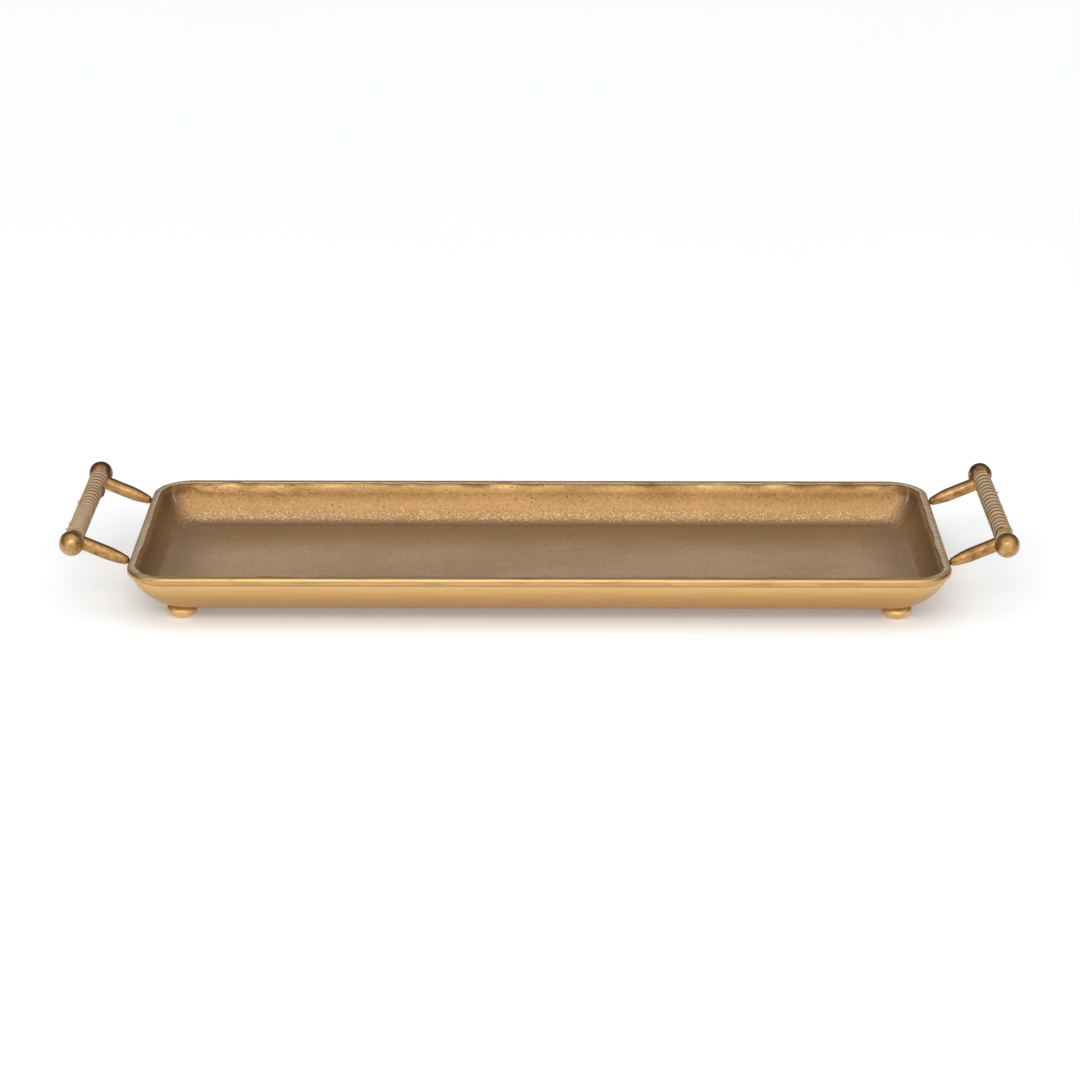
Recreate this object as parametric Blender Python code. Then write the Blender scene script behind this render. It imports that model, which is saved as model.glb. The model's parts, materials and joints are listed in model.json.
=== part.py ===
"""A long cast tray on four bun feet, with a fixed bar handle on two tapered posts at each end.

Metres, +Z up, X along the tray. The origin is on the table, under the middle of the tray.
"""

import math

import bmesh
import bpy
from mathutils import Matrix, Vector

# --- driving dimensions -------------------------------------------------------------------
RIM_LENGTH = 0.6535          # over the lip
RIM_WIDTH = 0.2302
RIM_CORNER = 0.0330          # plan radius of the lip's outer edge
RIM_PLANE = 0.0440           # height of the lip's middle above the table
LIP_WIDTH = 0.0068
LIP_HALF_HEIGHT = 0.0030
LIP_OVERHANG = 0.0021        # how far the lip stands out over the wall
LIP_EDGE = 0.0009            # rounding of the lip's inner edge

BASE_HEIGHT = 0.0124         # underside of the pan
BASE_INSET = 0.0255          # flare of the wall, from the lip's outer edge to the flat underside
BASE_CORNER = 0.0210
WALL_ROUNDNESS = 1.35        # 1 is a straight flare, 2 is a quarter ellipse
FLOOR_THICKNESS = 0.0034
FLOOR_INSET = 0.0295         # from the lip's outer edge to the flat floor
FLOOR_CORNER = 0.0160
COVE_ROUNDNESS = 1.45

FOOT_RADIUS = 0.0125
FOOT_TOP_RADIUS = 0.0050
FOOT_BOTTOM_RADIUS = 0.0056
FOOT_INSET = 0.0411          # from the lip's outer edge to the foot's axis, both ways
FOOT_STUD_RADIUS = 0.0025    # an M5 stud
FOOT_STUD_BOTTOM = 0.0038
FOOT_STUD_TOP = 0.0143

HANDLE_LENGTH = 0.7600       # overall, over the balls
BALL_RADIUS = 0.0101
BALL_SPACING = 0.1648        # between a bar's two ball centres
BAR_RISE = 0.0202            # bar axis above the rim plane
BALL_FACE = 0.0091           # from the ball's centre to its flat face
BAR_RADIUS = 0.0048
SPIGOT_RADIUS = 0.0030       # turned-down bar end inside the ball
SPIGOT_END = 0.0036          # from the ball's centre
HUB_START = 0.0096           # sleeve between ball and lacing, from the ball's centre
HUB_NECK = 0.0110
HUB_END = 0.0290
HUB_RADIUS = 0.0066
HUB_NECK_RADIUS = 0.0060
WRAP_RADIUS = 0.0074
WRAP_STARTS = {"left_front": 0.0114, "left_back": 0.0114, "right_front": 0.0262, "right_back": 0.0114}

POST_OFFSET = 0.0126         # from the ball's centre to the post's axis, along the bar
POST_DROP = 0.0013           # the post's axis passes this far under the bar's axis
POST_RADIUS = 0.0056
POST_TAPER_LENGTH = 0.0200
POST_START = 0.0009          # from the lip's outer face
POST_END_CLEARANCE = 0.0077  # from the bar's axis to the post's square end
TENON_RADIUS = 0.0022
TENON_END = 0.0025           # from the bar's axis
POST_STUD_RADIUS = 0.0019    # an M4 stud
POST_STUD_IN_LIP = 0.0036
POST_STUD_IN_POST = 0.0085

GAP = 0.0003                 # clearance between touching pieces
ROUND_SEGMENTS = 20
STUD_SEGMENTS = 12
CORNER_SEGMENTS = 8

BRASS = (0.62, 0.42, 0.20)
DARK_BRASS = (0.45, 0.30, 0.14)
LACING = (0.44, 0.33, 0.22)
STEEL = (0.55, 0.55, 0.56)


def clear_scene():
    for item in list(bpy.data.objects):
        bpy.data.objects.remove(item, do_unlink=True)


def finish(name, colour, roughness, metallic):
    material = bpy.data.materials.new(name)
    material.use_nodes = True
    shader = material.node_tree.nodes["Principled BSDF"]
    shader.inputs["Base Color"].default_value = (*colour, 1.0)
    shader.inputs["Roughness"].default_value = roughness
    shader.inputs["Metallic"].default_value = metallic
    return material


def add_object(name, shape, material, smooth_angle=math.radians(40)):
    """Turns a bmesh into a named object with its normals pointing out."""
    bmesh.ops.remove_doubles(shape, verts=shape.verts, dist=1e-7)
    bmesh.ops.recalc_face_normals(shape, faces=shape.faces)
    mesh = bpy.data.meshes.new(name)
    shape.to_mesh(mesh)
    shape.free()
    mesh.materials.append(material)
    mesh.shade_smooth()
    mesh.set_sharp_from_angle(angle=smooth_angle)
    item = bpy.data.objects.new(name, mesh)
    bpy.context.scene.collection.objects.link(item)
    return item


def turned(name, outline, placing, material, segments=ROUND_SEGMENTS, closed=False):
    """A piece turned on a lathe: outline is (radius, height) points, spun round local Z."""
    shape = bmesh.new()
    points = [shape.verts.new((radius, 0.0, height)) for radius, height in outline]
    edges = [shape.edges.new(pair) for pair in zip(points, points[1:])]
    if closed:
        edges.append(shape.edges.new((points[-1], points[0])))
    bmesh.ops.spin(shape, geom=points + edges, axis=(0, 0, 1), cent=(0, 0, 0),
                   angle=math.tau, steps=segments, use_merge=True)
    bmesh.ops.remove_doubles(shape, verts=shape.verts, dist=1e-6)
    item = add_object(name, shape, material)
    item.matrix_world = placing
    return item


def arc(centre, radii, start, end, steps):
    """Points on an ellipse, angles in degrees."""
    angles = [math.radians(start + (end - start) * i / steps) for i in range(steps + 1)]
    return [(centre[0] + radii[0] * math.cos(a), centre[1] + radii[1] * math.sin(a)) for a in angles]


def cutter(name, radius, start, end):
    """A hidden cylinder from start to end, for boring a hole."""
    length = (end - start).length
    shape = bmesh.new()
    bmesh.ops.create_cone(shape, cap_ends=True, segments=STUD_SEGMENTS, radius1=radius,
                          radius2=radius, depth=length)
    mesh = bpy.data.meshes.new(name)
    shape.to_mesh(mesh)
    shape.free()
    item = bpy.data.objects.new(name, mesh)
    turn = (end - start).to_track_quat("Z", "Y").to_matrix().to_4x4()
    item.matrix_world = Matrix.Translation((start + end) / 2) @ turn
    item.hide_render = True
    item.display_type = "WIRE"
    bpy.context.scene.collection.objects.link(item)
    return item


def bore(item, tool):
    cut = item.modifiers.new(tool.name, "BOOLEAN")
    cut.operation = "DIFFERENCE"
    cut.solver = "EXACT"
    cut.object = tool


# --- the pan ------------------------------------------------------------------------------
def flare(top, bottom, roundness, steps):
    """A wall's curve from its top (inset, height) down to its foot, as a superellipse quarter."""
    points = []
    for i in range(steps + 1):
        t = math.radians(90 * i / steps)
        across = 1 - math.cos(t) ** (2 / roundness)
        down = math.sin(t) ** (2 / roundness)
        points.append((top[0] + (bottom[0] - top[0]) * across, top[1] + (bottom[1] - top[1]) * down))
    return points


def plan_radius(inset, wall_top, wall_foot, foot_radius):
    """The plan corner radius shrinks evenly from the lip to the foot of the wall."""
    share = (inset - wall_top) / (wall_foot - wall_top)
    return (RIM_CORNER - wall_top) * (1 - share) + foot_radius * share


def pan_section():
    """Stations (inset, height, corner radius) from the underside, over the lip, to the floor."""
    lip_half = LIP_WIDTH / 2
    start = math.degrees(math.acos(1 - LIP_OVERHANG / lip_half))
    wall_top = (LIP_OVERHANG, RIM_PLANE - LIP_HALF_HEIGHT * math.sin(math.radians(start)))
    outer = flare(wall_top, (BASE_INSET, BASE_HEIGHT), WALL_ROUNDNESS, 8)[:0:-1]
    lip = arc((lip_half, RIM_PLANE), (lip_half, LIP_HALF_HEIGHT), 180 + start, 90, 8)
    edge_centre = (LIP_WIDTH - LIP_EDGE, RIM_PLANE + LIP_HALF_HEIGHT - LIP_EDGE)
    edge = arc(edge_centre, (LIP_EDGE, LIP_EDGE), 90, 0, 3)
    floor = (FLOOR_INSET, BASE_HEIGHT + FLOOR_THICKNESS)
    inner = flare(edge[-1], floor, COVE_ROUNDNESS, 9)[1:]
    stations = [(i, z, plan_radius(i, LIP_OVERHANG, BASE_INSET, BASE_CORNER)) for i, z in outer]
    stations += [(i, z, RIM_CORNER - i) for i, z in lip + edge]
    stations += [(i, z, plan_radius(i, LIP_WIDTH, FLOOR_INSET, FLOOR_CORNER)) for i, z in inner]
    return stations


def plan_loop(inset, height, radius):
    """A rounded rectangle, counter-clockwise from the middle of the right-hand end."""
    half_x = RIM_LENGTH / 2 - inset - radius
    half_y = RIM_WIDTH / 2 - inset - radius
    loop = []
    for quarter, (side_x, side_y) in enumerate(((1, 1), (-1, 1), (-1, -1), (1, -1))):
        for step in range(CORNER_SEGMENTS + 1):
            angle = math.radians(90 * (quarter + step / CORNER_SEGMENTS))
            loop.append((side_x * half_x + radius * math.cos(angle),
                         side_y * half_y + radius * math.sin(angle), height))
    return loop


def make_pan(material):
    shape = bmesh.new()
    rings = [[shape.verts.new(p) for p in plan_loop(*station)] for station in pan_section()]
    count = len(rings[0])
    for low, high in zip(rings, rings[1:]):
        for i in range(count):
            j = (i + 1) % count
            shape.faces.new((low[i], low[j], high[j], high[i]))
    shape.faces.new(rings[0][::-1])
    shape.faces.new(rings[-1])
    return add_object("tray_pan", shape, material)


# --- feet ---------------------------------------------------------------------------------
def foot_outline():
    """A bun foot with a flat top and bottom and a blind hole for its stud."""
    height = BASE_HEIGHT - GAP
    middle = height / 2
    bottom_angle = math.degrees(math.acos(FOOT_BOTTOM_RADIUS / FOOT_RADIUS))
    top_angle = math.degrees(math.acos(FOOT_TOP_RADIUS / FOOT_RADIUS))
    squash = middle / math.sin(math.radians((bottom_angle + top_angle) / 2))
    side = arc((0.0, middle), (FOOT_RADIUS, squash), top_angle, -bottom_angle, 8)
    side[0] = (side[0][0], height)
    side[-1] = (side[-1][0], 0.0)
    hole = FOOT_STUD_RADIUS + GAP
    floor = FOOT_STUD_BOTTOM - GAP
    return [(0.0, floor), (hole, floor), (hole, height), *side, (0.0, 0.0)]


def stud_outline(radius, start, end, chamfer=0.0004):
    return [(0.0, end), (radius - chamfer, end), (radius, end - chamfer),
            (radius, start + chamfer), (radius - chamfer, start), (0.0, start)]


def make_feet(pan, brass, steel):
    for end_name, end in (("left", -1), ("right", 1)):
        for side_name, side in (("front", -1), ("back", 1)):
            place = Vector((end * (RIM_LENGTH / 2 - FOOT_INSET),
                            side * (RIM_WIDTH / 2 - FOOT_INSET), 0.0))
            label = f"{end_name}_{side_name}"
            at = Matrix.Translation(place)
            turned(f"foot_{label}", foot_outline(), at, brass)
            turned(f"foot_stud_{label}", stud_outline(FOOT_STUD_RADIUS, FOOT_STUD_BOTTOM, FOOT_STUD_TOP),
                   at, steel, STUD_SEGMENTS)
            low = place + Vector((0, 0, BASE_HEIGHT - 0.002))
            high = place + Vector((0, 0, FOOT_STUD_TOP + GAP))
            bore(pan, cutter(f"foot_bore_{label}", FOOT_STUD_RADIUS + GAP, low, high))


# --- handles ------------------------------------------------------------------------------
def ball_outline():
    """A ball with a flat face towards the bar and a blind hole; local +Z points to the bar."""
    hole = SPIGOT_RADIUS + GAP
    floor = SPIGOT_END - GAP
    face_angle = math.degrees(math.asin(BALL_FACE / BALL_RADIUS))
    side = arc((0.0, 0.0), (BALL_RADIUS, BALL_RADIUS), face_angle, -90, 11)
    side[-1] = (0.0, -BALL_RADIUS)
    return [(0.0, floor), (hole, floor), (hole, BALL_FACE), *side]


def hub_outline():
    """A sleeve on the bar, with a narrow neck beside the ball; heights from the ball's centre."""
    hole = BAR_RADIUS + GAP
    round_off = 0.0005
    return [(hole, HUB_START), (HUB_NECK_RADIUS, HUB_START), (HUB_NECK_RADIUS, HUB_NECK - 0.0004),
            (HUB_RADIUS - round_off, HUB_NECK), (HUB_RADIUS, HUB_NECK + round_off),
            (HUB_RADIUS, HUB_END - round_off), (HUB_RADIUS - round_off, HUB_END), (hole, HUB_END)]


def bar_outline():
    """The bar with a turned-down spigot at each end; heights from the bar's middle."""
    half = BALL_SPACING / 2
    shoulder = half - HUB_NECK + 0.0004
    tip = half - SPIGOT_END
    upper = [(0.0, tip), (SPIGOT_RADIUS - 0.0004, tip), (SPIGOT_RADIUS, tip - 0.0004),
             (SPIGOT_RADIUS, shoulder), (BAR_RADIUS, shoulder)]
    return upper + [(radius, -height) for radius, height in reversed(upper)]


def wrap_outline(end_name):
    """The lacing as one sleeve, opened out at each end where it passes over the hubs."""
    back = BALL_SPACING / 2 - WRAP_STARTS[f"{end_name}_back"]
    front = WRAP_STARTS[f"{end_name}_front"] - BALL_SPACING / 2
    counterbore = BALL_SPACING / 2 - HUB_END - GAP
    over_hub = HUB_RADIUS + GAP
    over_bar = BAR_RADIUS + GAP
    return [(over_bar, counterbore), (over_hub, counterbore), (over_hub, back), (WRAP_RADIUS, back),
            (WRAP_RADIUS, front), (over_hub, front), (over_hub, -counterbore), (over_bar, -counterbore)]


def post_outline(length):
    """A tapered post along local Z from its rounded tip to its tenon, with a blind stud hole."""
    end = length - POST_END_CLEARANCE
    hole = POST_STUD_RADIUS + GAP
    hole_end = POST_STUD_IN_POST + GAP
    steps = 6
    taper = []
    for i in range(steps + 1):
        along = POST_START + (POST_TAPER_LENGTH - POST_START) * (i / steps) ** 1.4
        taper.append((POST_RADIUS * (1 - 0.5 * (1 - along / POST_TAPER_LENGTH) ** 3.2), along))
    round_off = 0.0004
    tenon_end = length - TENON_END
    return [(0.0, hole_end), (hole, hole_end), (hole, POST_START), *taper,
            (POST_RADIUS, end - round_off), (POST_RADIUS - round_off, end), (TENON_RADIUS, end),
            (TENON_RADIUS, tenon_end), (0.0, tenon_end)]


def make_handle(end_name, end, pan, brass, dark_brass, lacing, steel):
    bar_x = end * (HANDLE_LENGTH / 2 - BALL_RADIUS)
    centre = Vector((bar_x, 0.0, RIM_PLANE + BAR_RISE))
    along_y = Matrix.Rotation(math.radians(-90), 4, "X")
    bar = turned(f"grip_bar_{end_name}", bar_outline(), Matrix.Translation(centre) @ along_y, dark_brass)
    wrap = turned(f"wrap_{end_name}", wrap_outline(end_name), Matrix.Translation(centre) @ along_y,
                  lacing, closed=True)
    for side_name, side in (("front", -1), ("back", 1)):
        label = f"{end_name}_{side_name}"
        ball = centre + Vector((0, side * BALL_SPACING / 2, 0))
        inward = Matrix.Translation(ball) @ Matrix.Rotation(math.radians(90 * side), 4, "X")
        turned(f"finial_{label}", ball_outline(), inward, brass)
        hub = turned(f"hub_{label}", hub_outline(), inward, dark_brass, closed=True)
        post_y = side * (BALL_SPACING / 2 - POST_OFFSET)
        foot = Vector((end * RIM_LENGTH / 2, post_y, RIM_PLANE))
        head = Vector((bar_x, post_y, RIM_PLANE + BAR_RISE - POST_DROP))
        axis = (head - foot).normalized()
        length = (head - foot).length
        stand = Matrix.Translation(foot) @ axis.to_track_quat("Z", "Y").to_matrix().to_4x4()
        turned(f"post_{label}", post_outline(length), stand, brass)
        turned(f"post_stud_{label}", stud_outline(POST_STUD_RADIUS, -POST_STUD_IN_LIP, POST_STUD_IN_POST),
               stand, steel, STUD_SEGMENTS)
        bore(pan, cutter(f"post_bore_{label}", POST_STUD_RADIUS + GAP,
                         foot - axis * (POST_STUD_IN_LIP + GAP), foot + axis * 0.004))
        tenon_bore = cutter(f"tenon_bore_{label}", TENON_RADIUS + GAP,
                            foot + axis * (length - 0.012), foot + axis * (length - TENON_END + GAP))
        bore(hub, tenon_bore)
        bore(bar, tenon_bore)
        if WRAP_STARTS[label] < POST_OFFSET:
            bore(wrap, tenon_bore)


def main():
    clear_scene()
    cast_brass = finish("cast_brass", BRASS, 0.40, 1.0)
    turned_brass = finish("turned_brass", BRASS, 0.28, 1.0)
    dark_brass = finish("dark_brass", DARK_BRASS, 0.45, 1.0)
    lacing = finish("lacing", LACING, 0.80, 0.0)
    steel = finish("steel", STEEL, 0.35, 1.0)
    pan = make_pan(cast_brass)
    make_feet(pan, turned_brass, steel)
    for end_name, end in (("left", -1), ("right", 1)):
        make_handle(end_name, end, pan, turned_brass, dark_brass, lacing, steel)


main()
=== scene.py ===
# %% [markdown]
# # A cast brass tray with wrapped bar handles
# The real tray is one long sand casting on four bun feet. Each end has a bar wrapped in flat lacing,
# held out by two tapered posts and closed by two turned balls. This lesson keeps the CAD model's box and
# its main sizes, and adds what metal and hide have and a plain solid lacks: an uneven cast rim, pits,
# wear, turned balls that took knocks, and a real wound strip.

import json
import math

import bmesh
import bpy
from mathutils import Matrix, Vector, noise


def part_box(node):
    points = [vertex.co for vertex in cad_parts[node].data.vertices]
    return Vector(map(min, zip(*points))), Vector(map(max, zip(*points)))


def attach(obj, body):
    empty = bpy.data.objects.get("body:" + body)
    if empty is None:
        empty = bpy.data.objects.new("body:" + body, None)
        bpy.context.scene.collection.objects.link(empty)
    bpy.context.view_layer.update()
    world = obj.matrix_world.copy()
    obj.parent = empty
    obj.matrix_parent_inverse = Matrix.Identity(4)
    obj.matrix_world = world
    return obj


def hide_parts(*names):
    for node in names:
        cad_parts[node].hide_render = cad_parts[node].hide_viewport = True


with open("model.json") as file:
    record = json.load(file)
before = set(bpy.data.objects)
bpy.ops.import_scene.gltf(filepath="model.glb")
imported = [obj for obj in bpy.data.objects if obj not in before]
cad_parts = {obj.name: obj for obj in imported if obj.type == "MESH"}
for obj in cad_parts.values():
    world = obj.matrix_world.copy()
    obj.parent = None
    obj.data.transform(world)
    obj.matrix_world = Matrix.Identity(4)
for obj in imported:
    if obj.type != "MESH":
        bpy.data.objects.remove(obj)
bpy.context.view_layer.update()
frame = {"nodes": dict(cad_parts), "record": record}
MM = 0.001
ENDS = {"left": -1, "right": 1}
SIDES = {"front": -1, "back": 1}

# %% [markdown]
# ## The studio
# The tray stands on a plain pale table that glows faintly. A metal shows what is around it, so the room
# matters as much as the metal: a huge pale ceiling reaches from the front to overhead, one softbox
# stands above the camera, and the room behind and beside stays dim, because the tray's flat floor
# mirrors what is behind it.

# %% Camera
AIM = Vector((0.0004, -0.0202, 0.0440))
AZIMUTH, ELEVATION, DISTANCE = math.radians(0.3), math.radians(21.0), 2.4336
toward_camera = Vector((math.sin(AZIMUTH) * math.cos(ELEVATION),
                        -math.cos(AZIMUTH) * math.cos(ELEVATION), math.sin(ELEVATION)))
lens = bpy.data.cameras.new("studio_camera")
lens.lens, lens.sensor_width = 99.86, 36.0
camera = bpy.data.objects.new("studio_camera", lens)
camera.location = AIM + toward_camera * DISTANCE
camera.rotation_euler = (-toward_camera).to_track_quat("-Z", "Y").to_euler()
bpy.context.scene.collection.objects.link(camera)
bpy.context.scene.camera = camera
bpy.context.scene.view_settings.view_transform = "Standard"
print("camera at", [round(v, 3) for v in camera.location])


# %% The softbox
def softbox(name, watts, place, width, depth):
    """A soft rectangular lamp at a place, pointed at the tray."""
    data = bpy.data.lights.new(name, "AREA")
    data.energy = watts
    data.shape, data.size, data.size_y = "RECTANGLE", width, depth
    item = bpy.data.objects.new(name, data)
    item.location = place
    item.rotation_euler = (AIM - Vector(place)).to_track_quat("-Z", "Y").to_euler()
    bpy.context.scene.collection.objects.link(item)
    print(name, watts, "W")


softbox("front_softbox", 13.0, (-0.25, -2.15, 1.85), width=1.4, depth=0.8)


# %% [markdown]
# ## Shader maths in Python
# Cycles materials are graphs of nodes. Wiring them by hand hides the idea, so one small class wraps an
# output socket and lets Python's own + - * build the Math nodes, and a second class owns one
# material and makes every other node from its type, its settings and its sockets.

# %% A wire with operators
class Wire:
    """One output socket. Arithmetic on it adds Math nodes to the same material."""

    def __init__(self, finish, socket):
        self.finish, self.socket = finish, socket

    def sum_up(self, operation, first, second):
        return self.finish.node("ShaderNodeMath", {"operation": operation}, {0: first, 1: second})

    def __add__(self, other):
        return self.sum_up("ADD", self, other)

    def __sub__(self, other):
        return self.sum_up("SUBTRACT", self, other)

    def __rsub__(self, other):
        return self.sum_up("SUBTRACT", other, self)

    def __mul__(self, other):
        return self.sum_up("MULTIPLY", self, other)

    __radd__, __rmul__ = __add__, __mul__


# %% A material that makes its own nodes
class Finish:
    """One material, its nodes, and the few patterns that every finish here shares."""

    def __init__(self, name):
        self.material = bpy.data.materials.new(name)
        self.material.use_nodes = True
        self.tree = self.material.node_tree
        self.tree.nodes.clear()
        self.place = self.node("ShaderNodeTexCoord", out="Object")

    def node(self, kind, settings=None, sockets=None, out=0):
        made = self.tree.nodes.new(kind)
        for key, value in (settings or {}).items():
            if key == "stops":
                ramp = made.color_ramp
                while len(ramp.elements) < len(value):
                    ramp.elements.new(0.5)
                for element, (position, colour) in zip(ramp.elements, value):
                    element.position, element.color = position, (*colour, 1.0)
            else:
                setattr(made, key, value)
        for key, value in (sockets or {}).items():
            if isinstance(value, Wire):
                self.tree.links.new(value.socket, made.inputs[key])
            else:
                made.inputs[key].default_value = value
        return Wire(self, made.outputs[out])

    def attribute(self, name):
        return self.node("ShaderNodeAttribute", {"attribute_name": name}, out="Fac")

    def fade(self, value, low, high):
        """0 below low, 1 above high, smooth between."""
        return self.node("ShaderNodeMapRange", {"interpolation_type": "SMOOTHSTEP"},
                         {"Value": value, "From Min": low, "From Max": high})

    def size_of(self, value):
        return self.node("ShaderNodeMath", {"operation": "ABSOLUTE"}, {0: value})

    def cloud(self, scale, detail=3.0, place=None, roughness=0.5):
        return self.node("ShaderNodeTexNoise", None,
                         {"Vector": place or self.place, "Scale": scale, "Detail": detail,
                          "Roughness": roughness})

    def stretch(self, scale):
        """Object coordinates scaled by axis, for a pattern that runs one way."""
        return self.node("ShaderNodeVectorMath", {"operation": "MULTIPLY"}, {0: self.place, 1: scale})

    def across_line(self, direction, along=0.06):
        """Coordinates with the part along a direction nearly taken out, so that noise runs in streaks."""
        line = Vector(direction).normalized()
        share = self.node("ShaderNodeVectorMath", {"operation": "DOT_PRODUCT"},
                          {0: self.place, 1: line}, out="Value")
        part = self.node("ShaderNodeVectorMath", {"operation": "SCALE"},
                         {0: line * (1 - along), "Scale": share})
        return self.node("ShaderNodeVectorMath", {"operation": "SUBTRACT"}, {0: self.place, 1: part})

    def mix(self, amount, first, second, how="MIX"):
        def colour(value):
            return value if isinstance(value, Wire) else (*value, 1.0)
        return self.node("ShaderNodeMix", {"data_type": "RGBA", "blend_type": how},
                         {0: amount, 6: colour(first), 7: colour(second)}, out=2)

    def ramp(self, value, stops):
        return self.node("ShaderNodeValToRGB", {"stops": stops}, {0: value})

    def pits(self, scale, share, size):
        """Round pits: 1 inside a pit. Only a share of the cells has one."""
        cells = self.node("ShaderNodeTexVoronoi", None, {"Vector": self.place, "Scale": scale})
        draw = self.node("ShaderNodeTexVoronoi", None, {"Vector": self.place, "Scale": scale}, out="Color")
        chance = self.node("ShaderNodeSeparateColor", None, {0: draw})
        return (1 - self.fade(cells, size * 0.5, size)) * self.fade(chance, 1 - share, 1.02 - share)

    def dress(self, colour, rough, metallic, height=None, relief=0.0004, strength=0.5, **fixed):
        """Wires up the surface. What varies feeds colour, roughness, metallic and the bump only."""
        sockets = {"Base Color": colour, "Roughness": rough, "Metallic": metallic}
        if height:
            sockets["Normal"] = self.node("ShaderNodeBump", None,
                                          {"Height": height, "Distance": relief, "Strength": strength})
        sockets.update({key.replace("_", " "): value for key, value in fixed.items()})
        surface = self.node("ShaderNodeBsdfPrincipled", None, sockets)
        end = self.tree.nodes.new("ShaderNodeOutputMaterial")
        self.tree.links.new(surface.socket, end.inputs["Surface"])
        print("finish", self.material.name, len(self.tree.nodes), "nodes")
        return self.material


# %% The dim room and the pale floor
CEILING_MIDDLE = (0.0, -0.643, 0.766)
FLOOR_REACH = 40.0
room = bpy.data.worlds.new("studio_room")
bpy.context.scene.world = room
room.use_nodes = True
way = room.node_tree.nodes.new("ShaderNodeTexCoord")
facing = room.node_tree.nodes.new("ShaderNodeVectorMath")
facing.operation = "DOT_PRODUCT"
facing.inputs[1].default_value = CEILING_MIDDLE
ceiling = room.node_tree.nodes.new("ShaderNodeMapRange")
ceiling.interpolation_type = "SMOOTHSTEP"
for key, value in (("From Min", 0.24), ("From Max", 0.80), ("To Min", 0.115), ("To Max", 1.44)):
    ceiling.inputs[key].default_value = value
room.node_tree.links.new(way.outputs["Generated"], facing.inputs[0])
room.node_tree.links.new(facing.outputs["Value"], ceiling.inputs["Value"])
room.node_tree.links.new(ceiling.outputs[0], room.node_tree.nodes["Background"].inputs["Strength"])
room.node_tree.nodes["Background"].inputs["Color"].default_value = (1.0, 0.99, 0.975, 1.0)

paper = Finish("pale_paper")
paper_tone = paper.cloud(3.0, 2.0)
pale_paper = paper.dress(paper.mix(paper_tone, (0.895, 0.925, 0.950), (0.91, 0.940, 0.965)), 0.9, 0.0,
                         Specular_IOR_Level=0.0, Emission_Color=(1.0, 1.0, 1.0, 1.0),
                         Emission_Strength=0.18)
sweep = bmesh.new()
bmesh.ops.create_grid(sweep, x_segments=8, y_segments=8, size=FLOOR_REACH)
sweep_mesh = bpy.data.meshes.new("studio_floor")
sweep.to_mesh(sweep_mesh)
sweep.free()
sweep_mesh.materials.append(pale_paper)
studio_floor = bpy.data.objects.new("studio_floor", sweep_mesh)
bpy.context.scene.collection.objects.link(studio_floor)
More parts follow.
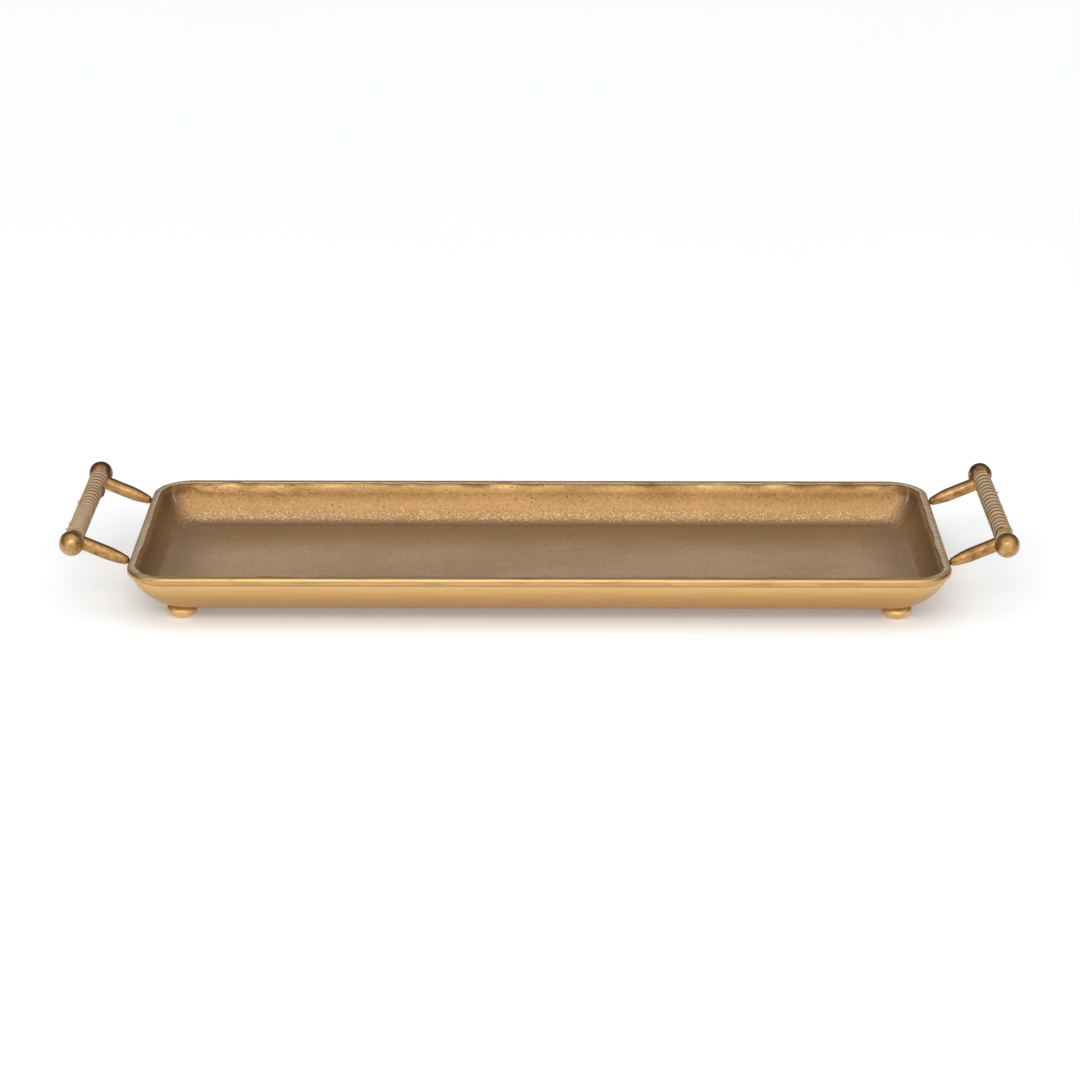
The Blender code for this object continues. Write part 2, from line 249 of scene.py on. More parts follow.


# %% [markdown]
# ## Finish 1: cast brass
# A sand casting is smooth where it was dressed and polished, and grainy where the sand touched it.
# Outside, the wall is satin and warm, with painted shade that darkens it towards the base and in the groove
# under the lip. Inside, it is browner, with soft clouds of tarnish, dark pits, painted glints in a band
# where the cove meets the floor, painted shade on the end walls and a painted highlight along the fold in
# each back corner. The floor and the flat rim top are dull and greyish, and the floor has painted shade
# towards the back wall and along the back cove.
# The pan's mesh carries four numbers a vertex (lining, sink, top and bend) which say where on the
# casting a point is, so the colours follow the shape however it curves. "lining" is 1 inside, "sink"
# is how far down the wall a point lies, "top" is the flat rim, and "bend" counts round the corners.

# %% Cast brass
def make_cast_brass():
    brass = Finish("cast_brass")
    lining, sink, top, bend = (brass.attribute(name) for name in ("lining", "sink", "top", "bend"))
    clouds, blotches = brass.cloud(11.0, 3.0), brass.cloud(75.0, 4.0)
    streaks = brass.cloud(1.0, 4.0, brass.stretch((22.0, 260.0, 120.0)))
    grain, sand = brass.cloud(1500.0, 2.0), brass.cloud(620.0, 4.0, roughness=0.7)
    length = brass.node("ShaderNodeSeparateXYZ", None, {0: brass.place}, out="X")
    depth = brass.node("ShaderNodeSeparateXYZ", None, {0: brass.place}, out="Y")
    far_out = brass.size_of(length)
    # Outside colour down the wall: brightest just under the lip, then painted shade darkens it towards the
    # base.
    outside = brass.ramp(sink + (clouds - 0.5) * 0.10, [
        (0.00, (0.54, 0.315, 0.125)), (0.15, (0.68, 0.430, 0.180)), (0.22, (0.71, 0.465, 0.205)),
        (0.60, (0.55, 0.330, 0.120)), (1.00, (0.51, 0.280, 0.088))])
    # Inside colour down the wall: the lining's browner tone with painted light and shade, bright just under
    # the rim, darkest about a third of the way down and lighter again lower down.
    inside = brass.ramp(sink + (blotches - 0.5) * 0.10 + (clouds - 0.5) * 0.10, [
        (0.00, (0.58, 0.38, 0.185)), (0.12, (0.72, 0.46, 0.200)), (0.30, (0.37, 0.205, 0.077)),
        (0.60, (0.42, 0.240, 0.100)), (0.80, (0.47, 0.29, 0.130)), (1.00, (0.42, 0.27, 0.135))])
    toward_end = brass.fade(far_out, 0.298, 0.315)
    coarse = brass.cloud(430.0, 3.0, roughness=0.75)
    floor_part = brass.fade(sink + toward_end * 0.12 + (coarse - 0.5) * 0.16, 0.875, 0.945) * lining
    wall = lining * (1 - floor_part)
    band = (brass.fade(sink + (coarse - 0.5) * 0.3, 0.62, 0.82) * (1 - brass.fade(sink, 0.92, 0.96))
            * lining * (1 - toward_end))
    end_wall = toward_end * wall
    dull_floor_and_shade = brass.mix(brass.fade(clouds, 0.38, 0.62), (0.62, 0.430, 0.265), (0.70, 0.490, 0.310))
    # Painted shade: the floor darkens towards the back wall.
    dull_floor_and_shade = brass.mix(brass.fade(depth, 0.010, 0.082) * 0.85, dull_floor_and_shade, (0.33, 0.205, 0.098))
    # The floor turns greyer and darker towards the ends.
    dull_floor_and_shade = brass.mix(brass.fade(far_out, 0.255, 0.306) * 0.62, dull_floor_and_shade, (0.34, 0.230, 0.138))
    # Painted shade: a darker strip along the foot of the back cove.
    dull_floor_and_shade = brass.mix(brass.fade(depth, 0.080, 0.0935) * 0.6, dull_floor_and_shade, (0.20, 0.115, 0.050))
    colour = brass.mix(lining, outside, inside)
    # Painted shade on the end walls: a darker colour, a little lighter lower down.
    shaded = brass.mix(brass.fade(sink, 0.3, 0.9), (0.24, 0.150, 0.082), (0.37, 0.250, 0.150))
    colour = brass.mix(end_wall * 0.85, colour, shaded)
    # A paler strip just under the rim, mixed back over the end walls' painted shade.
    end_upper_strip = brass.fade(sink, 0.03, 0.07) * (1 - brass.fade(sink + (blotches - 0.5) * 0.2, 0.12, 0.26))
    colour = brass.mix(end_upper_strip * end_wall * 0.75, colour, (0.60, 0.37, 0.160))
    colour = brass.mix(floor_part, colour, dull_floor_and_shade)
    bare = top * brass.fade(far_out, 0.292, 0.318)
    colour = brass.mix(top * 0.70, colour, (0.95, 0.68, 0.38))
    colour = brass.mix(bare * 0.9, colour, (0.84, 0.67, 0.51))
    # Painted shade: a dark line in the groove under the outside of the lip.
    groove = brass.fade(sink, 0.160, 0.175) * (1 - brass.fade(sink, 0.192, 0.215)) * (1 - lining)
    inner_line = brass.fade(sink, 0.012, 0.03) * (1 - brass.fade(sink, 0.05, 0.085)) * lining
    colour = brass.mix(groove * 0.50, colour, (0.20, 0.105, 0.040))
    colour = brass.mix(inner_line * 0.40, colour, (0.22, 0.14, 0.075))
    wavy_bend = bend + (blotches - 0.5) * 0.16
    left_fold, right_fold = (1 - brass.fade(brass.size_of(wavy_bend - crease), 0.015, 0.075)
                             for crease in (0.53, 1.47))
    fold_and_glint = (left_fold + right_fold) * wall * (1 - brass.fade(sink, 0.35, 0.6))
    scuffs = brass.cloud(1.0, 4.0, brass.stretch((26.0, 420.0, 420.0)), roughness=0.65)
    lip_marks = brass.fade(scuffs, 0.50, 0.64) * (1 - brass.fade(sink, 0.12, 0.17)) * (1 - lining)
    colour = brass.mix(lip_marks * 0.45, colour, (0.33, 0.185, 0.075))
    pits = brass.pits(300.0, 0.28, 0.20) * brass.fade(clouds, 0.40, 0.60) * wall
    smears = brass.fade(brass.cloud(1.0, 3.0, brass.stretch((95.0, 150.0, 190.0))), 0.50, 0.66)
    smudge = (smears * brass.fade(length * -1.0, 0.17, 0.21) * brass.fade(sink, 0.04, 0.12)
              * (1 - brass.fade(sink, 0.30, 0.50)) * wall * (1 - toward_end))
    specks = brass.pits(620.0, 0.42, 0.36) * (wall * 0.35 + band * 0.65 + bare * 0.8 + floor_part * 0.15)
    # Painted glints: bright highlight specks, mostly in the band above the cove.
    glints = brass.fade(sand, 0.52, 0.62) * (band + wall * 0.15)
    colour = brass.mix(pits * 0.8, colour, (0.085, 0.045, 0.018))
    colour = brass.mix(smudge * 0.45, colour, (0.24, 0.13, 0.055))
    colour = brass.mix(glints * 0.50, colour, (0.95, 0.74, 0.48))
    colour = brass.mix(specks * 0.75, colour, (0.16, 0.095, 0.045))
    # Painted highlight along the fold in each back corner; the same mask raises a slight ridge in the bump.
    colour = brass.mix(fold_and_glint * 0.35, colour, (0.90, 0.66, 0.40))
    brushing = brass.ramp(streaks, [(0.3, (0.72, 0.68, 0.62)), (0.7, (1.0, 1.0, 1.0))])
    colour = brass.mix(0.25, colour, brushing, "MULTIPLY")
    sanding = brass.ramp(coarse, [(0.38, (0.62, 0.60, 0.58)), (0.60, (1.0, 1.0, 1.0))])
    colour = brass.mix(bare * 0.9 + lining * 0.55, colour, sanding, "MULTIPLY")
    rough = 0.35 + lining * 0.12 + top * 0.12 + floor_part * 0.08 + (blotches - 0.5) * 0.08
    height = (grain * (0.06 + lining * 0.35 + top * 0.7) + sand * (0.04 + lining + top * 2.0 + band * 2.4)
              - pits * 1.6 - specks * 0.7 + fold_and_glint * 1.2 - smudge + blotches * wall * 1.5)
    metal = 1 - (floor_part * 0.40 + bare * 0.45 + end_wall * 0.40)
    return brass.dress(colour, rough, metal, height, relief=0.00030, strength=0.6)


cast_brass = make_cast_brass()


# %% [markdown]
# ## Finish 2: turned brass, and the darker brass of the sleeves
# Balls, posts and feet were turned on a lathe and then toned down. Tarnish stays in soft clouds and polish
# marks run one way, along a post and round a ball. One function makes both, told which way the marks run,
# how dark the metal is and how much it shines. Each turned mesh carries "upward", how far it faces up, for
# painted shade on the upper side of balls and posts, and each post's mesh carries a number for the painted
# shade of its dark gap at the rim. The back balls get a darker copy of the ball finish, which is painted
# shade.

# %% Turned and dark brass
def make_turned_brass(name, line, light, dark, rough, streak_scale=420.0, tarnish=0.5, top_shade=0.0,
                      metal=0.86):
    brass = Finish(name)
    clouds = brass.cloud(120.0, 4.0, roughness=0.6)
    streaks = brass.cloud(streak_scale, 3.0, brass.across_line(line), roughness=0.6)
    grain = brass.cloud(2200.0, 2.0)
    tone = brass.fade(clouds * 0.6 + streaks * 0.4, 0.36, 0.62)
    colour = brass.mix(tone, dark, light)
    flecks = brass.pits(700.0, 0.22, 0.35)
    colour = brass.mix(flecks * tarnish, colour, (0.12, 0.065, 0.025))
    if top_shade:
        # Painted shade on the upper side of the piece, where it faces up.
        shade = brass.fade(brass.attribute("upward") + (streaks - 0.5) * 0.8, 0.55, 0.95)
        colour = brass.mix(shade * top_shade, colour, (0.22, 0.120, 0.050))
        # Painted shade: near black where a post's tip meets the rim.
        colour = brass.mix(brass.attribute("tip"), colour, (0.030, 0.016, 0.008))
    return brass.dress(colour, rough + (0.5 - clouds) * 0.22, metal,
                       streaks * 0.8 + grain * 0.25 - flecks * 0.5, relief=0.00016, strength=0.45)


LIGHT_BRASS, DEEP_BRASS = (0.54, 0.305, 0.112), (0.23, 0.115, 0.038)
# The back balls' finish is a darker copy of the front one, as painted shade. The plain sleeves use it too,
# for their dark brass.
ball_brass = {"front": make_turned_brass("ball_brass_front", (0.0, 0.3, 1.0), (0.60, 0.365, 0.140),
                                         (0.31, 0.165, 0.055), 0.31, 300.0, top_shade=0.60),
              "back": make_turned_brass("ball_brass_back_shaded", (0.0, 0.3, 1.0), (0.37, 0.21, 0.085),
                                        (0.12, 0.060, 0.024), 0.25, 300.0, top_shade=0.6)}
foot_brass = make_turned_brass("foot_brass", (1.0, 0.0, 0.0), (0.88, 0.585, 0.260),
                               (0.68, 0.430, 0.170), 0.36)
sleeve_brass = make_turned_brass("sleeve_brass", (0.0, 1.0, 0.0), (0.80, 0.53, 0.270),
                                 (0.42, 0.255, 0.115), 0.46, 650.0, metal=0.5)
ring_metal = make_turned_brass("ring_metal", (1.0, 0.0, 1.0), (0.74, 0.63, 0.50), (0.40, 0.31, 0.22), 0.45)

# %% [markdown]
# ## Finish 3: lacing
# The wrap is a flat strip of pale hide. Its fibres run the way the strip runs, which is round the bar, so
# the noise is squeezed hard along the bar. The strip's mesh carries "across", 0 to 1 over its width, and
# painted shade darkens the groove beside each lapping edge. Where "worn" is high the grooves have nearly
# gone and their painted shade is weaker, as in the front half of the left handle.

# %% Lacing
def make_lacing():
    hide = Finish("hide_lacing")
    across = hide.attribute("across")
    fibres = hide.cloud(1.0, 4.0, hide.stretch((150.0, 1900.0, 150.0)), roughness=0.65)
    patches, fuzz = hide.cloud(90.0, 4.0), hide.cloud(1800.0, 2.0)
    colour = hide.mix(hide.fade(patches, 0.35, 0.65), (0.48, 0.325, 0.194), (0.58, 0.405, 0.250))
    colour = hide.mix(hide.fade(fibres, 0.42, 0.62) * 0.5, colour, (0.64, 0.46, 0.290))
    # Painted shade in the groove beside each lapping edge, weaker where the strip is worn.
    edge = hide.fade(across, 0.93, 1.0) * 0.4 + (1 - hide.fade(across, 0.19, 0.36))
    edge = edge * (1 - hide.attribute("worn") * 0.75)
    colour = hide.mix(edge * 0.75, colour, (0.150, 0.090, 0.048))
    return hide.dress(colour, 0.72 - fibres * 0.15, 0.0, fibres * 0.9 + fuzz * 0.35 - edge * 0.3,
                      relief=0.00022, strength=0.6, Specular_IOR_Level=0.35)


hide_lacing = make_lacing()


# %% [markdown]
# ## Finish 4: steel
# The studs are hidden inside the metal, but whoever takes the tray apart sees them. They are plain
# drawn steel, with fine marks along the stud.

# %% Drawn steel
def make_steel():
    steel = Finish("drawn_steel")
    marks = steel.cloud(1.0, 3.0, steel.stretch((1400.0, 1400.0, 60.0)))
    return steel.dress(steel.mix(marks, (0.42, 0.42, 0.43), (0.62, 0.62, 0.63)),
                       0.28 + marks * 0.16, 1.0, marks, relief=0.00005, strength=0.4)


drawn_steel = make_steel()
for node, item in frame["nodes"].items():
    if "stud" in node or "grip_bar" in node:
        for place in item.material_slots:
            place.material = drawn_steel if "stud" in node else sleeve_brass

# %% [markdown]
# ## Bench helpers
# Turned pieces are spun or cut from a simple shape, knocked about a little so that they aren't
# computer-perfect, and put on the tray. Each step is written once. The knocks only go inwards, so they
# never make a piece grow past its CAD size.

# %% Lathe, knocks and putting a piece on
def arc(centre, radii, start, stop, steps):
    """Points (radius, height) on an ellipse, angles in degrees."""
    angles = [math.radians(start + (stop - start) * i / steps) for i in range(steps + 1)]
    return [(centre[0] + radii[0] * math.cos(a), centre[1] + radii[1] * math.sin(a)) for a in angles]


def turn(outline, at, steps=48, closed=False):
    """Spins a half outline of (radius, height) points round Z, as on a lathe, then places it."""
    shape = bmesh.new()
    points = [shape.verts.new((radius, 0.0, height)) for radius, height in outline]
    pairs = list(zip(points, points[1:])) + ([(points[-1], points[0])] if closed else [])
    edges = [shape.edges.new(pair) for pair in pairs]
    bmesh.ops.spin(shape, geom=points + edges, cent=(0, 0, 0), axis=(0, 0, 1), dvec=(0, 0, 0),
                   angle=math.tau, steps=steps, use_merge=True, use_duplicate=False)
    bmesh.ops.remove_doubles(shape, verts=shape.verts[:], dist=1e-6)
    bmesh.ops.transform(shape, matrix=at, verts=shape.verts[:])
    return shape


def knock(shape, depth, grain, shift=0.0):
    """Moves each vertex inwards along its normal by a smooth, repeatable unevenness, and notes for the
    finish how far it faces upwards, for the shade that some finishes paint on top."""
    upward = shape.verts.layers.float.new("upward")
    bmesh.ops.recalc_face_normals(shape, faces=shape.faces[:])
    shape.normal_update()
    for vert in shape.verts:
        vert[upward] = vert.normal.z
        wave = noise.noise(vert.co / grain + Vector((shift, shift * 1.7, shift * 0.6)))
        vert.co -= vert.normal * depth * max(0.0, min(1.0, 0.5 + 0.8 * wave))


def put_on(shape, name, finish, slot, *stands_for, sharp=38):
    """Makes the finished bmesh an object that rides on the tray."""
    bmesh.ops.remove_doubles(shape, verts=shape.verts[:], dist=1e-6)
    bmesh.ops.recalc_face_normals(shape, faces=shape.faces[:])
    mesh = bpy.data.meshes.new(name)
    shape.to_mesh(mesh)
    shape.free()
    mesh.polygons.foreach_set("use_smooth", [True] * len(mesh.polygons))
    mesh.set_sharp_from_angle(angle=math.radians(sharp))
    mesh.materials.append(finish)
    piece = bpy.data.objects.new(name, mesh)
    bpy.context.scene.collection.objects.link(piece)
    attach(piece, "root")
    if stands_for:
        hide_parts(*stands_for)
    print(name, len(mesh.polygons), "faces")


# %% [markdown]
# ## The pan
# The real pan is one casting: a flat floor, walls that flare outwards, and a rounded lip with a fine
# groove under it. A boolean or a subdivided box would smear the lip. It is easier to think of the pan
# as one rounded rectangle that is extruded ring after ring: up the outside, over the lip, down the
# inside and in across the floor. Each ring is the one before, made wider or narrower.

# %% The pan's sizes
pan_low, pan_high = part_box("tray_pan")
HALF_LENGTH, HALF_WIDTH = pan_high.x, pan_high.y
RIM_TOP, BASE = pan_high.z, pan_low.z
FLOOR = next(m for m in frame["record"]["mounts"] if m["name"] == "tray_floor")["pos_m"][2]
RIM_CORNER, LIP, LIP_HEIGHT, OVERHANG = 33.0 * MM, 6.8 * MM, 3.0 * MM, 2.1 * MM
LIP_START = -72.5
BASE_INSET, BASE_CORNER = 25.5 * MM, 21.0 * MM
FLOOR_INSET, FLOOR_CORNER = 25.8 * MM, 16.0 * MM
print("rim top", RIM_TOP, "base", BASE, "floor", FLOOR)


# %% Stations of the section
def flare(top, foot, roundness, steps):
    """A wall's curve from its top (inset, height) down to its foot, a quarter of a superellipse."""
    points = []
    for i in range(steps + 1):
        t = math.radians(90 * i / steps)
        across, down = 1 - math.cos(t) ** (2 / roundness), math.sin(t) ** (2 / roundness)
        points.append((top[0] + (foot[0] - top[0]) * across, top[1] + (foot[1] - top[1]) * down))
    return points


def bead(steps):
    """The lip from its groove, round the outer edge, to its top: (inset, height)."""
    points = []
    for i in range(steps + 1):
        a = math.radians(LIP_START + (90 - LIP_START) * i / steps)
        out, up = abs(math.cos(a)) ** 0.8, math.copysign(abs(math.sin(a)) ** 0.8, a)
        points.append((LIP / 2 * (1 - out), RIM_TOP - LIP_HEIGHT + LIP_HEIGHT * up))
    return points


EDGE = 0.9 * MM
outer_wall = flare((OVERHANG, RIM_TOP - 2 * LIP_HEIGHT + 0.11 * MM), (BASE_INSET, BASE + 0.5 * MM), 1.35, 14)
inner_edge = [(LIP - EDGE + r, z) for r, z in arc((0.0, RIM_TOP - EDGE), (EDGE, EDGE), 90, 0, 4)]
inner_wall = flare((LIP, RIM_TOP - EDGE), (FLOOR_INSET, FLOOR), 1.45, 22)


def station(inset, height, lining, top):
    """One ring: half length, half width, corner radius, height, and its numbers for the finish."""
    if lining:
        sink = (RIM_TOP - height) / (RIM_TOP - FLOOR)
        turn_in = min(1.0, sink / 0.35) ** 2 * (3 - 2 * min(1.0, sink / 0.35))
        corner = (RIM_CORNER - LIP) * (1 - turn_in) + FLOOR_CORNER * turn_in
    else:
        share = max(0.0, (inset - OVERHANG) / (BASE_INSET - OVERHANG))
        corner = (RIM_CORNER - OVERHANG) * (1 - share) + BASE_CORNER * share
        sink = (RIM_TOP - height) / (RIM_TOP - BASE)
    return (HALF_LENGTH - inset, HALF_WIDTH - inset, max(corner, 4 * MM), height), (lining, sink, top)


rings = [station(BASE_INSET + 8 * MM, BASE, 0, 0), station(BASE_INSET + 0.5 * MM, BASE, 0, 0)]
rings += [station(inset, height, 0, 0) for inset, height in reversed(outer_wall)]
rings += [station(inset, height, 0, max(0, i - 8) / 4) for i, (inset, height) in enumerate(bead(12))][1:]
rings += [station(4.6 * MM, RIM_TOP, 0.2, 1), station(LIP - EDGE, RIM_TOP, 0.4, 1)]
rings += [station(inset, height, 1, 0.6 - 0.15 * i) for i, (inset, height) in enumerate(inner_edge)][1:]
rings += [station(inset, height, 1, 0) for inset, height in inner_wall][1:]
rings += [station(FLOOR_INSET + extra * MM, FLOOR, 1, 0) for extra in (3, 8, 16, 28)]
print(len(rings), "rings")


# %% Rings into a pan
def resize_ring(verts, old, new):
    """Each vertex keeps its direction on its own corner, and the straight sides stretch."""
    for vert in verts:
        hub = [max(-(old[k] - old[2]), min(old[k] - old[2], vert.co[k])) for k in (0, 1)]
        way = [(vert.co[k] - hub[k]) / old[2] for k in (0, 1)]
        stretch = [(new[k] - new[2]) / (old[k] - old[2]) for k in (0, 1)]
        vert.co = [hub[k] * stretch[k] + way[k] * new[2] for k in (0, 1)] + [new[3]]


def make_pan_shape():
    shape = bmesh.new()
    layers = [shape.verts.layers.float.new(name) for name in ("lining", "sink", "top")]
    bend = shape.verts.layers.float.new("bend")
    size, numbers = rings[0]
    bmesh.ops.create_grid(shape, x_segments=1, y_segments=1, size=1.0)
    bmesh.ops.scale(shape, vec=(size[0], size[1], 1.0), verts=shape.verts[:])
    bmesh.ops.translate(shape, vec=(0, 0, size[3]), verts=shape.verts[:])
    bmesh.ops.bevel(shape, geom=shape.verts[:], offset=size[2], offset_type="OFFSET", affect="VERTICES",
                    segments=14, profile=0.5, material=-1)
    for axis, pieces in ((0, 160), (1, 44)):
        sides = [e for e in shape.edges if abs(e.verts[0].co[axis] - e.verts[1].co[axis]) > size[axis] * 0.8]
        bmesh.ops.subdivide_edges(shape, edges=sides, cuts=pieces)
    bmesh.ops.dissolve_faces(shape, faces=shape.faces[:], use_verts=False)
    edge_ring = shape.edges[:]
    for vert in shape.verts:
        for layer, number in zip(layers, numbers):
            vert[layer] = number
    for new_size, numbers in rings[1:]:
        grown = bmesh.ops.extrude_edge_only(shape, edges=edge_ring)["geom"]
        verts = [g for g in grown if isinstance(g, bmesh.types.BMVert)]
        edge_ring = [g for g in grown if isinstance(g, bmesh.types.BMEdge) and g.is_boundary]
        resize_ring(verts, size, new_size)
        for vert in verts:
            for layer, number in zip(layers, numbers):
                vert[layer] = number
            if vert.co.y > 0:
                past_x = max(0.0, abs(vert.co.x) - (new_size[0] - new_size[2]))
                past_y = max(0.0, vert.co.y - (new_size[1] - new_size[2]))
                turned = math.atan2(past_y, past_x) / (math.pi / 2)
                vert[bend] = turned if vert.co.x < 0 else 2 - turned
        size = new_size
    bmesh.ops.edgeloop_fill(shape, edges=edge_ring)
    bmesh.ops.recalc_face_normals(shape, faces=shape.faces[:])
    return shape


pan_shape = make_pan_shape()
print("pan", len(pan_shape.verts), "vertices")


# %% [markdown]
# ### Making the casting uneven
# A casting's inner rim edge wanders by about a millimetre, and its walls have shallow dents from the
# sand. Smooth noise on the vertices does the wandering, and a few named dents sit on the back wall under
# the rim. The outside of the lip is left true, because it sets the tray's size.

# %% Wander and dents
# Each dent: x, y, z of its middle in metres, its reach and its depth in millimetres.
DENTS = [(-0.250, 0.100, 0.036, 8, 1.2), (-0.230, 0.100, 0.034, 7, 1.1), (-0.208, 0.099, 0.036, 8, 1.0),
         (0.112, 0.100, 0.032, 12, 0.4), (0.246, 0.100, 0.034, 10, 0.5)]


def weather_pan(shape):
    lining, sink, top = (shape.verts.layers.float[name] for name in ("lining", "sink", "top"))
    shape.normal_update()
    for vert in shape.verts:
        inner = vert[lining]
        near_edge = max(0.0, 1 - abs(vert[sink] - 0.03) / 0.10) * inner
        wall = inner * max(0.0, 1 - vert[sink]) ** 0.4 if vert[sink] < 1 else 0.0
        wander = noise.noise(vert.co / (21 * MM)) + noise.noise(vert.co / (9 * MM)) * 0.5
        rolling = noise.noise(vert.co / (34 * MM) + Vector((3, 1, 7)))
        wrinkle = noise.noise(vert.co / (10 * MM)) * max(0.0, min(1.0, (-0.16 - vert.co.x) / 0.06))
        move = vert.normal * (wander * 1.5 * MM * near_edge + (rolling * 1.3 + wrinkle * 0.7) * MM * wall)
        for x, y, z, reach, depth in DENTS:
            far = (Vector((x, y, z)) - vert.co).length / (reach * MM)
            move -= vert.normal * depth * MM * math.exp(-far * far) * inner
        if vert[top] > 0.5:
            move.z -= (0.5 + 0.5 * noise.noise(vert.co / (9 * MM))) * 0.22 * MM
        vert.co += move
        vert.co.z = min(vert.co.z, RIM_TOP)


weather_pan(pan_shape)
put_on(pan_shape, "tray_pan_casting", cast_brass, "cast_brass", "tray_pan", sharp=60)

# %% [markdown]
# ## Bun feet
# Each foot is a turned bun, a flattened ball with a flat top against the pan and a flat below. A
# sphere squashed and sliced by two planes is that shape.

# %% Feet
SLICE = 0.893


def make_foot(label):
    low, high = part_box(f"foot_{label}")
    centre, radius = (low + high) / 2, (high.x - low.x) / 2
    half = (high.z - low.z) / 2
    shape = bmesh.new()
    bmesh.ops.create_uvsphere(shape, u_segments=56, v_segments=32, radius=radius)
    bmesh.ops.scale(shape, vec=(1, 1, half / SLICE / radius), verts=shape.verts[:])
    for way in (-1, 1):
        cut = bmesh.ops.bisect_plane(shape, geom=shape.verts[:] + shape.edges[:] + shape.faces[:],
                                     plane_co=(0, 0, way * half), plane_no=(0, 0, way),
                                     clear_outer=True, dist=1e-6)["geom_cut"]
        bmesh.ops.edgeloop_fill(shape, edges=[g for g in cut if isinstance(g, bmesh.types.BMEdge)])
    bmesh.ops.translate(shape, vec=centre, verts=shape.verts[:])
    knock(shape, 0.15 * MM, 7 * MM, centre.x * 50)
    put_on(shape, f"bun_foot_{label}", foot_brass, "turned_brass", f"foot_{label}")


for end in ENDS:
    for side in SIDES:
        make_foot(f"{end}_{side}")

# %% [markdown]
# ## Handles
# Everything on a handle sits on one line, the bar, which runs front to back between two balls. The
# posts leave the rim at a slope and end square beside the bar. The CAD boxes give the balls' centres,
# so the line, the slope and every length follow from them.

# %% Where the balls, bars and posts are
BALL_RADIUS, BALL_FACE = 10.1 * MM, 9.1 * MM
POST_OFFSET, POST_DROP, POST_CLEARANCE = 12.6 * MM, 1.3 * MM, 6.2 * MM
POST_RADIUS, POST_TAPER, POST_NECK = 5.6 * MM, 20.0 * MM, 3.0 * MM
TENON_GAP, TIP_GAP = 5.0 * MM, 1.5 * MM


def ball_centre(end, side):
    low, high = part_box(f"finial_{end}_{side}")
    outer_y = high.y if SIDES[side] > 0 else low.y
    return Vector(((low.x + high.x) / 2, outer_y - SIDES[side] * BALL_RADIUS, (low.z + high.z) / 2))


def post_line(end, side):
    """The post's root on the rim and its head on the bar, and the direction between them."""
    ball = ball_centre(end, side)
    y = ball.y - SIDES[side] * POST_OFFSET
    root = Vector((ENDS[end] * HALF_LENGTH, y, RIM_TOP - LIP_HEIGHT))
    head = Vector((ball.x, y, ball.z - POST_DROP))
    return root, head, (head - root).normalized()


def along(start, way):
    """A placing matrix: local Z along a direction, from a start point."""
    return Matrix.Translation(start) @ Vector(way).to_track_quat("Z", "Y").to_matrix().to_4x4()


post_brass = {}
for end in ENDS:
    slope = post_line(end, "front")[2]
    post_brass[end] = make_turned_brass(f"post_brass_{end}", slope, LIGHT_BRASS, DEEP_BRASS, 0.36, 520.0,
                                        top_shade=0.65)
    print(end, "ball", [round(v / MM, 1) for v in ball_centre(end, "front")], "slope",
          [round(v, 3) for v in slope])


# %% [markdown]
# ### Balls
# A ball is a sphere with a flat where it meets the sleeve. Slight knocks keep its highlight from
# looking like glass.

# %% Balls
def make_ball(end, side):
    centre = ball_centre(end, side)
    low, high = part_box(f"finial_{end}_{side}")
    shape = bmesh.new()
    bmesh.ops.create_uvsphere(shape, u_segments=72, v_segments=40, radius=(high.z - low.z) / 2)
    cut = bmesh.ops.bisect_plane(shape, geom=shape.verts[:] + shape.edges[:] + shape.faces[:],
                                 plane_co=(0, 0, BALL_FACE), plane_no=(0, 0, 1),
                                 clear_outer=True, dist=1e-6)["geom_cut"]
    bmesh.ops.edgeloop_fill(shape, edges=[g for g in cut if isinstance(g, bmesh.types.BMEdge)])
    bmesh.ops.transform(shape, matrix=along(centre, (0, -SIDES[side], 0)), verts=shape.verts[:])
    knock(shape, 0.22 * MM, 6.5 * MM, centre.y * 30 + centre.x * 11)
    label = f"{end}_{side}"
    put_on(shape, f"ball_{label}", ball_brass[side], "turned_brass", f"finial_{label}")


# %% [markdown]
# ### Posts
# A post swells from a narrow tip at the rim to a plain round bar, and ends square beside the lacing,
# where a thinner neck goes on towards the sleeve. The right back neck is thicker. It is one outline on
# the lathe.

# %% Posts
def make_post(end, side):
    root, head, way = post_line(end, side)
    length = (head - root).length
    stop = length - POST_CLEARANCE
    neck = POST_NECK * (1.3 if (end, side) == ("right", "back") else 1.0)
    outline = [(0.0, 0.0), (2.2 * MM, 0.0), (2.2 * MM, 1.0 * MM), (2.7 * MM, 1.1 * MM), (3.1 * MM, TIP_GAP)]
    for i in range(1, 15):
        reach = TIP_GAP + (POST_TAPER - TIP_GAP) * (i / 14) ** 1.2
        outline.append((POST_RADIUS * (1 - 0.46 * (1 - reach / POST_TAPER) ** 1.8), reach))
    outline += [(POST_RADIUS, stop - 6 * MM), (POST_RADIUS * 0.995, stop - 3 * MM)]
    outline += arc((POST_RADIUS - 0.7 * MM, stop - 0.7 * MM), (0.7 * MM, 0.7 * MM), 0, 90, 4)
    outline += [(neck + 0.3 * MM, stop), (neck, stop + 0.3 * MM)]
    outline += [(neck, length - TENON_GAP), (0.0, length - TENON_GAP)]
    shape = turn(outline, along(root, way), steps=44)
    knock(shape, 0.20 * MM, 9 * MM, root.y * 40 + root.x * 7)
    # Marks the first 1.2 mm of the post from the rim, which the finish paints near black as shade in the gap
    # there.
    tip = shape.verts.layers.float.new("tip")
    for vert in shape.verts:
        vert[tip] = 0.9 if (vert.co - root).dot(way) < 1.2 * MM else 0.0
    label = f"{end}_{side}"
    put_on(shape, f"tapered_post_{label}", post_brass[end], "turned_brass", f"post_{label}")


